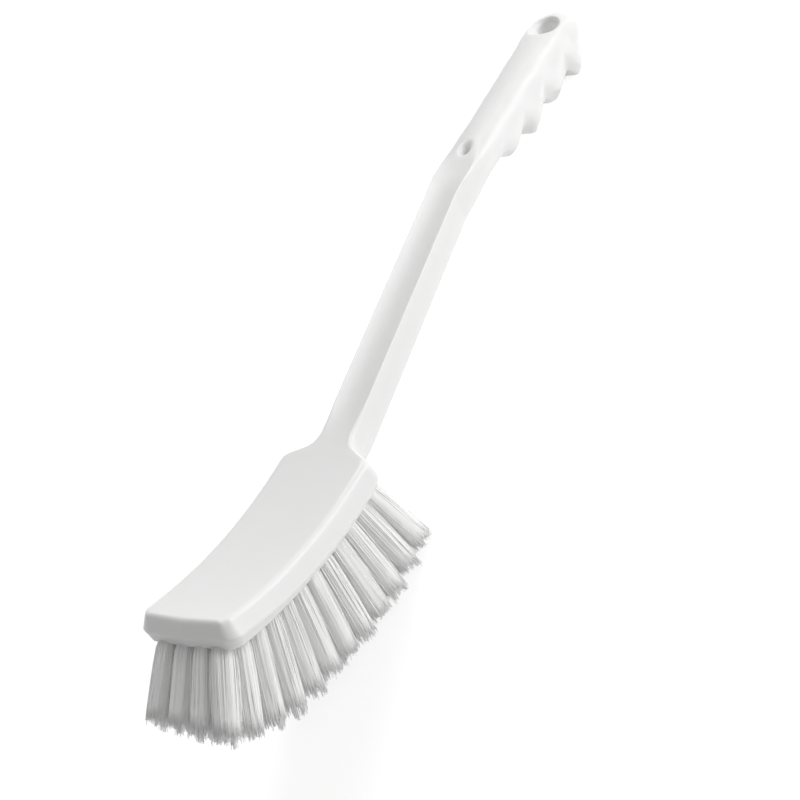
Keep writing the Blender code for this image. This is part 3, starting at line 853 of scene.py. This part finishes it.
    def hole_wall(self, above: Array, below: Array, turn: Array) -> Array:
        """The wall of the hole: a rounded rim, a countersink, and a straight slanting bore.

        Each row is a ring at its own depth and radius. The first rows keep the height of the top's
        surface, and the share of the level ring grows with depth.

        Args:
            above: the ring in the top.
            below: the ring in the underside.
            turn: angles of the columns round the hole.

        Returns:
            The rows of the wall, from the ring above to the ring below.
        """
        hole = self.hole
        rim = hole.edge_radius - hole.rim_radius
        rows = [above]
        for inward, outward, rim_share, neck_share in hole.rings:
            radius = hole.rim_radius + (hole.neck_radius - hole.rim_radius) * inward + rim * outward
            depth = rim * rim_share + hole.neck_depth * neck_share
            ring = self.wall(turn, np.full(turn.shape, depth), np.full(turn.shape, radius))
            level = min(depth / hole.neck_depth, 1.0)
            ring[:, 2] += (above[:, 2] - self.hole_top) * (1.0 - level)
            rows.append(ring)
        mouth = self.exit_depth(turn, 0.0) - hole.exit_flare
        low = self.wall(turn, mouth, self.wall_radius(mouth))
        rows += between(rows[-1], low, hole.wall_steps)
        rows += [low, (low + below) / 2.0 + (low - below) * hole.exit_bulge_share, below]
        return np.stack(rows)

    def build(self, resting: Resting, finish: MouldedPlastic) -> bpy.types.Object:
        """Makes the body as one closed piece.

        Args:
            resting: how the brush lies.
            finish: the plastic.

        Returns:
            The piece, which stands for the body's solid.
        """
        sheets = self.surface()
        points: list[Array] = []
        faces: list[Array] = []
        for side in Side:
            for sheet in sheets:
                first = sum(len(part) for part in points)
                faces.append(grid_faces(*sheet.shape[:2], first))
                points.append(sheet.reshape(-1, 3) * np.array([1.0, side.value, 1.0]))
        world = np.clip(resting.carry(np.concatenate(points)), *SOLID_BOX)
        piece = make_piece("body_shell", world, np.concatenate(faces).tolist(), self.weld)
        piece.data.materials.append(finish.build())
        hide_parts("moulded_body")
        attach(piece, "root")
        return piece


@dataclass(frozen=True)
class BristleField:
    """Four columns of tufts, each a bundle of fine filaments that fans out from its hole."""

    rows: int = 12
    columns: int = 4
    first_x: float = 5.2 * MM
    row_pitch: float = 10.05 * MM
    column_pitch: float = 10.0 * MM
    spread_x_share: float = 0.372
    spread_y_share: float = 0.351
    spread_middle_x: float = 70.4 * MM
    tip_drop: float = 48.9 * MM
    tip_curve_radius: float = 178.0 * MM
    tip_curve_middle_x: float = 68.7 * MM
    front_left_trim: float = 3.5 * MM
    right_growth: float = 3.0 * MM
    right_growth_row: float = 2.0
    right_growth_rows: float = 1.6
    filaments: int = 190
    locks: int = 8
    root_radius: float = 3.4 * MM
    tip_radius: float = 6.3 * MM
    root_depth: float = 1.5 * MM
    filament_radius: float = 0.19 * MM
    tip_taper: float = 0.25
    flare_run: float = 2.4 * MM
    flare_share: float = 0.66
    disc_unevenness: float = 0.07
    lock_ring_share: float = 0.68
    lock_pull: float = 0.3
    lock_unevenness: float = 1.6 * MM
    unevenness: float = 0.9 * MM
    dome: float = 1.2 * MM
    waviness: float = 0.3 * MM
    core_width_share: float = 0.9
    core_length_share: float = 0.955
    core_hollow_share: float = 0.1
    core_unevenness: float = 0.025
    core_ribs: int = 48
    core_rib_share: float = 0.035
    sides: int = 3
    stations: tuple[float, ...] = (0.0, 0.05, 0.16, 0.36, 0.6, 0.82, 1.0)
    weld: float = 0.001 * MM
    seed: int = 12

    def axes(self, row: int, column: int, body: MouldedBody) -> tuple[Array, Array]:
        """Where a tuft leaves the head, and where the middle of its tips is.

        Args:
            row: from 0 at the front.
            column: from 0 at the right.
            body: the body that carries the tuft.

        Returns:
            The root and the tip in the brush's frame.
        """
        x = self.first_x + row * self.row_pitch
        y = (column - (self.columns - 1) / 2.0) * self.column_pitch
        tip_x = x + self.spread_x_share * (x - self.spread_middle_x)
        lift = (tip_x - self.tip_curve_middle_x) ** 2 / (2.0 * self.tip_curve_radius)
        root = np.array([x, y, float(body.bottom(np.array(x)))])
        tip = np.array([tip_x, y * (1.0 + self.spread_y_share), lift - self.tip_drop])
        return root, tip + unit(tip - root) * self.uneven_length(row, column)

    def uneven_length(self, row: int, column: int) -> float:
        """How much longer than the trim a tuft is.

        The front row gets shorter to the left. Down the right column the gain is a bell curve.
        """
        if row == 0:
            return -self.front_left_trim * column / (self.columns - 1)
        if column == 0:
            away = (row - self.right_growth_row) / self.right_growth_rows
            return self.right_growth * math.exp(-(away**2))
        return 0.0

    def flare(self, run: Array, share: Array) -> Array:
        """How far a tuft has opened: partly as 1 - e to the power of -run, partly as the share."""
        early = 1.0 - np.exp(-run / self.flare_run)
        return self.flare_share * early + (1.0 - self.flare_share) * share

    def core_surface(self, root: Array, tip: Array, chance: np.random.Generator) -> tuple[Array, list]:
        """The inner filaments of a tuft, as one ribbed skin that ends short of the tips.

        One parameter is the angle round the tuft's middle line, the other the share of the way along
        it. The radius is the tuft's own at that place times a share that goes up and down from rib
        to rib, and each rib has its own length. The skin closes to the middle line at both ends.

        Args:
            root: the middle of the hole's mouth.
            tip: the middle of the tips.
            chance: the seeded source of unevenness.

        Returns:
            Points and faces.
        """
        along, length = unit(tip - root), np.linalg.norm(tip - root)
        cross = self.cross_directions(along)
        columns = 2 * self.core_ribs
        turn = 2.0 * math.pi * np.arange(columns) / columns
        uneven = np.repeat(chance.normal(0.0, self.core_unevenness, self.core_ribs), 2)
        share = np.array(self.stations)[:, None] * (self.core_length_share + uneven)
        run = length * share
        opened = self.flare(run, share)
        radius = self.root_radius * (1.0 - opened) + self.tip_radius * opened
        rib = self.core_width_share * (1.0 + self.core_rib_share * np.cos(self.core_ribs * turn))
        aside = np.stack([np.cos(turn), np.sin(turn)], axis=1) @ cross
        skin = root + along * (run - self.root_depth)[..., None] + aside * (radius * rib)[..., None]
        far_end = length * (self.core_length_share - self.core_hollow_share)
        ends = root + along * np.array([[-self.root_depth], [far_end]])
        caps = np.repeat(ends[:, None, :], columns, axis=1)
        grid = np.concatenate([caps[:1], skin, caps[1:]])
        closed = np.concatenate([grid, grid[:, :1]], axis=1)
        return closed.reshape(-1, 3), grid_faces(*closed.shape[:2]).tolist()

    @staticmethod
    def cross_directions(along: Array) -> Array:
        """Two unit directions across a tuft's middle line, the first of them level with the brush."""
        across = unit(np.cross(np.array([0.0, 1.0, 0.0]), along))
        return np.stack([across, np.cross(along, across)])

    def filament_paths(self, root: Array, tip: Array,
                       chance: np.random.Generator) -> tuple[Array, Array]:
        """The middle lines of a tuft's filaments.

        At the root they fill a disc as the seeds of a sunflower do. Going out, each moves from its
        place in that disc to the same place in a wider one, fast at first and then evenly, is drawn
        toward the middle of its lock with the square of the way, and bows a little to one side. The
        outer ones are shorter, with the square of their distance from the middle.

        Args:
            root: the middle of the hole's mouth.
            tip: the middle of the tips.
            chance: the seeded source of unevenness.

        Returns:
            Points as filaments by stations by 3, and the tuft's two cross directions.
        """
        count = self.filaments
        along, length = unit(tip - root), np.linalg.norm(tip - root)
        cross = self.cross_directions(along)
        number = np.arange(count) + 0.5
        far = np.sqrt(number / count)
        angle = number * math.pi * (3.0 - math.sqrt(5.0)) + chance.uniform(0.0, 2.0 * math.pi)
        disc = np.stack([far * np.cos(angle), far * np.sin(angle)], axis=1)
        disc = disc + chance.normal(0.0, self.disc_unevenness, disc.shape)
        turn = 2.0 * math.pi * (np.arange(self.locks) + chance.uniform(0.0, 1.0)) / (self.locks - 1)
        middles = self.lock_ring_share * np.stack([np.cos(turn), np.sin(turn)], axis=1)
        middles[-1] = 0.0
        gaps = np.linalg.norm(disc[:, None, :] - middles[None, :, :], axis=2)
        lock = gaps.argmin(axis=1)
        reach = length + chance.normal(0.0, self.lock_unevenness, self.locks)[lock]
        reach = reach + chance.normal(0.0, self.unevenness, count) - self.dome * far**2
        share = np.array(self.stations)[None, :, None]
        run = reach[:, None, None] * share
        flare = self.flare(run, share)
        place = disc[:, None, :]
        pull = middles[lock][:, None, :] - place
        bow = chance.normal(0.0, self.waviness, (count, 1, 2)) * np.sin(math.pi * share)
        wide = (place + pull * self.lock_pull * share**2) * self.tip_radius
        aside = place * self.root_radius * (1.0 - flare) + wide * flare + bow
        places = root + along * (run - self.root_depth * (1.0 - share)) + aside @ cross
        return places, cross

    def filament_surface(self, paths: Array, cross: Array) -> tuple[Array, list[list[int]]]:
        """The filaments' skins: a small polygon carried along each path, thinner at the tip.

        Args:
            paths: points as filaments by stations by 3.
            cross: the two directions that the polygon lies in.

        Returns:
            Points, and faces with a cap on each end.
        """
        count, stations = paths.shape[:2]
        turn = 2.0 * math.pi * np.arange(self.sides) / self.sides
        polygon = np.stack([np.cos(turn), np.sin(turn)], axis=1) @ cross
        radius = self.filament_radius * (1.0 - self.tip_taper * np.array(self.stations) ** 3)
        skin = paths[:, :, None, :] + radius[None, :, None, None] * polygon[None, None, :, :]
        index = np.arange(count * stations * self.sides).reshape(count, stations, self.sides)
        follow = np.roll(index, -1, axis=2)
        walls = np.stack([index[:, :-1], follow[:, :-1], follow[:, 1:], index[:, 1:]], axis=-1)
        faces = walls.reshape(-1, 4).tolist() + index[:, 0, ::-1].tolist() + index[:, -1].tolist()
        return skin.reshape(-1, 3), faces

    def build(self, body: MouldedBody, resting: Resting,
              finish: WhiteFilament) -> list[bpy.types.Object]:
        """Makes the tufts, each its own piece that stands for its solid.

        Args:
            body: the body that carries them.
            resting: how the brush lies.
            finish: the filaments' finish.

        Returns:
            The pieces.
        """
        material = finish.build()
        chance = np.random.default_rng(self.seed)
        pieces = []
        for row in range(self.rows):
            for column in range(self.columns):
                root, tip = self.axes(row, column, body)
                paths, cross = self.filament_paths(root, tip, chance)
                paths = self.trim(resting.carry(paths))
                points, faces = self.filament_surface(paths, cross @ resting.turn().T)
                core, core_faces = self.core_surface(root, tip, chance)
                faces += (np.array(core_faces) + len(points)).tolist()
                label = f"row{row + 1:02d}_column{column + 1}"
                points = np.concatenate([points, np.clip(resting.carry(core), *SOLID_BOX)])
                piece = make_piece(f"bristles_{label}", points, faces, self.weld)
                self.set_tones(piece, paths, chance, finish.attribute)
                piece.data.materials.append(material)
                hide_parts(f"tuft_{label}")
                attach(piece, "root")
                pieces.append(piece)
        return pieces

    def set_tones(self, piece: bpy.types.Object, paths: Array, chance: np.random.Generator,
                  name: str) -> None:
        """Gives each point of a tuft the tone of its filament, and the skin inside the last one's.

        Args:
            piece: the tuft's piece.
            paths: its filaments' middle lines.
            chance: the seeded source of the tones.
            name: name of the attribute that keeps them.
        """
        tone = chance.uniform(0.0, 1.0, len(paths))
        count = len(piece.data.vertices)
        owner = np.minimum(np.arange(count) // (paths.shape[1] * self.sides), len(paths) - 1)
        attribute = piece.data.attributes.new(name, "FLOAT", "POINT")
        attribute.data.foreach_set("value", tone[owner].astype(np.float32))

    def trim(self, paths: Array) -> Array:
        """Shortens the filaments that would leave the box of the solids, its floor among its faces.

        Each keeps the share of its way that lies between the box's faces, less its own radius.

        Args:
            paths: points as filaments by stations by 3, in the world.

        Returns:
            The paths, none of which ends outside.
        """
        root, way = paths[:, :1, :], paths[:, -1:, :] - paths[:, :1, :]
        low, high = np.array(SOLID_BOX)
        wall = np.where(way > 0.0, high - self.filament_radius, low + self.filament_radius)
        room = wall - root
        keep = np.clip(room / way, 0.0, 1.0).min(axis=2, keepdims=True)
        return root + (paths - root) * keep


@dataclass(frozen=True)
class Lamp:
    """A round softbox: its power in watts, its width, how far it stands, and in which direction."""

    name: str
    power: float
    size: float
    distance: float
    way: tuple[float, float, float]


@dataclass(frozen=True)
class Studio:
    """A plain white floor, soft light from the right and above, and the photograph's camera."""

    floor_reach: float = 6.0
    floor_drop: float = 0.2 * MM
    floor_lines: int = 9
    floor_colour: Colour = (0.8, 0.8, 0.8, 1.0)
    floor_roughness: float = 0.9
    seen_floor_colour: Colour = (0.42, 0.42, 0.42, 1.0)
    seen_floor_glow: float = 0.75
    fill: float = 0.34
    # glow: the floor shines at this strength for every ray but the camera's, so though it is no lamp it
    # lights the brush's undersides from below
    glow: float = 0.30
    key: Lamp = Lamp("key", 12.9, 1.1, 1.5, (0.36, -0.79, 0.52))
    top: Lamp = Lamp("top", 13.4, 0.9, 1.8, (0.12, 0.24, 0.95))
    camera_place: tuple[float, float, float] = (-681.16 * MM, -861.69 * MM, 674.03 * MM)
    camera_way: tuple[float, float, float] = (0.618148, 0.622373, -0.480151)
    camera_roll: float = math.radians(22.97)
    lens_mm: float = 135.63
    sensor_mm: float = 36.0

    def build(self, resting: Resting) -> None:
        """Sets up the floor, the world, the lamps and the camera."""
        self.set_floor()
        self.set_world()
        for lamp in (self.key, self.top):
            self.set_lamp(lamp, resting)
        self.set_camera(resting)

    def set_floor(self) -> None:
        """A level light table that glows faintly, and reads white but for the brush's soft shadow."""
        line = np.linspace(-self.floor_reach, self.floor_reach, self.floor_lines)
        x, y = np.meshgrid(line, line)
        points = np.column_stack([x.ravel(), y.ravel(), np.full(x.size, -self.floor_drop)])
        floor = make_piece("floor", points, grid_faces(*x.shape).tolist())
        nodes = NodeTree(bpy.data.materials.new("white floor"))
        # The floor's own glow lights the brush from below for every ray but the camera's; camera rays
        # see a plain diffuse and an even glow instead
        nodes.fill_in(nodes.shader, Base_Color=self.floor_colour, Roughness=self.floor_roughness,
                      Emission_Color=WHITE, Emission_Strength=self.glow)
        plain = nodes.add("ShaderNodeBsdfDiffuse", Color=self.seen_floor_colour)
        glow = nodes.add("ShaderNodeEmission", Strength=self.seen_floor_glow)
        both = nodes.add("ShaderNodeAddShader")
        nodes.join(plain.outputs[0], both.inputs[0])
        nodes.join(glow.outputs[0], both.inputs[1])
        nodes.swap(nodes.add("ShaderNodeLightPath").outputs["Is Camera Ray"], both.outputs[0])
        floor.data.materials.append(nodes.owner)

    def set_world(self) -> None:
        """Even fill light, and a pale backdrop where the camera or a reflection sees past the floor."""
        world = bpy.data.worlds.new("studio")
        bpy.context.scene.world = world
        nodes = NodeTree(world)
        nodes.fill_in(nodes.shader, Color=WHITE, Strength=self.fill)
        light_path = nodes.add("ShaderNodeLightPath")
        seen = light_path.outputs["Is Camera Ray"]
        for ray in ("Is Glossy Ray", "Is Transmission Ray"):
            either = nodes.add("ShaderNodeMath")
            either.operation = "ADD"
            either.use_clamp = True
            nodes.join(seen, either.inputs[0])
            nodes.join(light_path.outputs[ray], either.inputs[1])
            seen = either.outputs[0]
        nodes.swap(seen, nodes.add("ShaderNodeBackground", Strength=1.0).outputs[0])

    def set_lamp(self, lamp: Lamp, resting: Resting) -> None:
        """Adds a lamp that faces the brush, with its direction carried with the brush's tilt."""
        light = bpy.data.lights.new(lamp.name, "AREA")
        light.shape = "DISK"
        light.size = lamp.size
        light.energy = lamp.power
        way = unit(resting.turn() @ np.array(lamp.way))
        side = unit(np.cross(UP, way))
        self.place(light, np.column_stack([side, np.cross(way, side), way]), way * lamp.distance)

    def set_camera(self, resting: Resting) -> None:
        """The camera, looking along its way and rolled about it, carried with the brush's tilt."""
        lens = bpy.data.cameras.new("camera")
        lens.lens = self.lens_mm
        lens.sensor_width = self.sensor_mm
        way = unit(np.array(self.camera_way))
        level = unit(np.cross(way, UP))
        right = level * math.cos(self.camera_roll) - np.cross(level, way) * math.sin(self.camera_roll)
        axes = resting.turn() @ np.column_stack([right, np.cross(right, way), -way])
        camera = self.place(lens, axes, resting.carry(np.array(self.camera_place)))
        bpy.context.scene.camera = camera

    @staticmethod
    def place(data: bpy.types.Light | bpy.types.Camera, axes: Array, at: Array) -> bpy.types.Object:
        """Puts a lamp or a camera at a place, turned to three axes in columns."""
        item = bpy.data.objects.new(data.name, data)
        item.matrix_world = Matrix([*np.column_stack([axes, at]).tolist(), [0.0, 0.0, 0.0, 1.0]])
        bpy.context.scene.collection.objects.link(item)
        return item


def main() -> None:
    """Builds the brush piece by piece, then the studio, and reports each."""
    logging.basicConfig(level=logging.INFO, format="%(name)s: %(message)s")
    bpy.context.scene.view_settings.view_transform = "Standard"
    resting = Resting()
    body = MouldedBody()
    shell = body.build(resting, MouldedPlastic())
    LOG.info("%s: %d faces", shell.name, len(shell.data.polygons))
    for tuft in BristleField().build(body, resting, WhiteFilament()):
        LOG.info("%s: %d faces", tuft.name, len(tuft.data.polygons))
    Studio().build(resting)
    LOG.info("studio is set")


if __name__ == "__main__":
    main()
